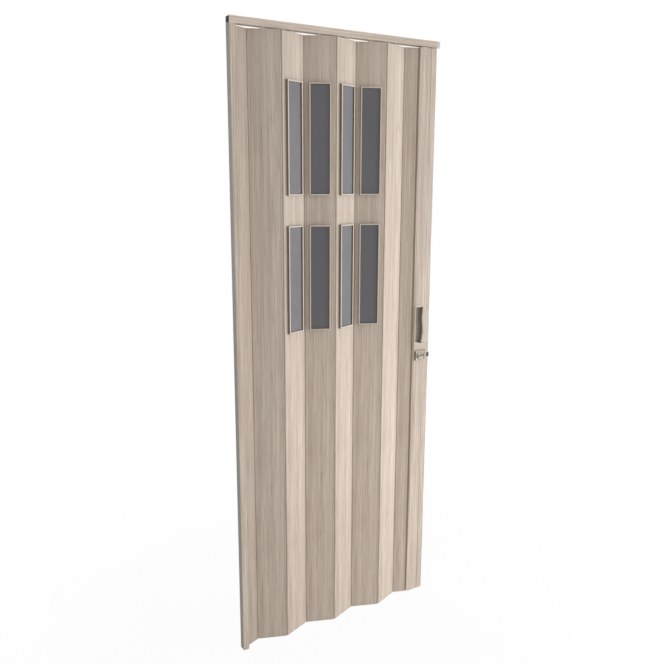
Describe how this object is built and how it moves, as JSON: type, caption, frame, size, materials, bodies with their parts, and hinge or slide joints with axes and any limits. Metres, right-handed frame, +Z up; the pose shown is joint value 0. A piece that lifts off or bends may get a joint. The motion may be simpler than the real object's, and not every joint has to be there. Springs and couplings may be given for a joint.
{
  "type": "accordion door",
  "caption": "Partly folded accordion door: hollow hinged leaves with small smoked windows, wall jamb, head track, closing post with finger pulls, and a rim lock.",
  "frame": {"origin": "foot of the wall jamb, on its wall face and in the middle plane of the track", "axes": "+X along the track from the wall jamb to the closing post, +Y to the back of the door, +Z up; -Y is the front with the rim lock"},
  "size_m": [0.7951, 0.0488, 2.1],
  "materials": {
    "woodgrain_vinyl": "pale greige wood-grain film on rigid vinyl, satin",
    "hinge_vinyl": "flexible vinyl, plain, a shade darker than the leaves",
    "window_frame_vinyl": "plain moulded vinyl, pale greige, satin",
    "smoked_acrylic": "opaque smoked grey sheet, glossy",
    "runner_nylon": "plain off-white nylon",
    "pull_plastic": "moulded plastic, warm beige, semi-gloss",
    "lock_plate_metal": "beige enamelled pressed steel, satin",
    "turn_metal": "dull warm nickel",
    "bolt_metal": "dark zinc-plated steel"
  },
  "bodies": {
    "door": {"wall_jamb": "woodgrain_vinyl", "head_track": "woodgrain_vinyl", "hinge_side_half_leaf": "woodgrain_vinyl", "leaf_1": "woodgrain_vinyl", "leaf_2": "woodgrain_vinyl", "leaf_3": "woodgrain_vinyl", "leaf_4": "woodgrain_vinyl", "leaf_5": "woodgrain_vinyl", "leaf_6": "woodgrain_vinyl", "lock_side_half_leaf": "woodgrain_vinyl", "lead_post": "woodgrain_vinyl", "closing_strip": "woodgrain_vinyl", "jamb_hinge_strip": "hinge_vinyl", "fold_strip_1": "hinge_vinyl", "fold_strip_2": "hinge_vinyl", "fold_strip_3": "hinge_vinyl", "fold_strip_4": "hinge_vinyl", "fold_strip_5": "hinge_vinyl", "fold_strip_6": "hinge_vinyl", "fold_strip_7": "hinge_vinyl", "post_hinge_strip": "hinge_vinyl", "window_frame_2_upper": "window_frame_vinyl", "window_frame_2_lower": "window_frame_vinyl", "window_frame_3_upper": "window_frame_vinyl", "window_frame_3_lower": "window_frame_vinyl", "window_frame_4_upper": "window_frame_vinyl", "window_frame_4_lower": "window_frame_vinyl", "window_frame_5_upper": "window_frame_vinyl", "window_frame_5_lower": "window_frame_vinyl", "window_panes_2": "smoked_acrylic", "window_panes_3": "smoked_acrylic", "window_panes_4": "smoked_acrylic", "window_panes_5": "smoked_acrylic", "runners": "runner_nylon", "finger_pull_front": "pull_plastic", "finger_pull_back": "pull_plastic", "lock_case": "lock_plate_metal", "bolt_guide": "lock_plate_metal", "lock_rose_back": "lock_plate_metal"},
    "thumb_turn": {"thumb_turn_front": "turn_metal", "thumb_turn_back": "turn_metal"},
    "lock_bolt": {"lock_bolt": "bolt_metal"}
  },
  "joints": [
    {"name": "lock_turn", "type": "hinge", "parent": "door", "child": "thumb_turn", "pos_m": [0.74186, 0, 0.9797], "axis": [0, 1, 0], "range_deg": [0, 90]},
    {"name": "bolt_slide", "type": "slide", "parent": "door", "child": "lock_bolt", "axis": [1, 0, 0], "range_m": [0, 0.01]}
  ],
  "couplings": [
    {"joint": "bolt_slide", "follows": "lock_turn", "m_per_rad": 0.006366}
  ]
}
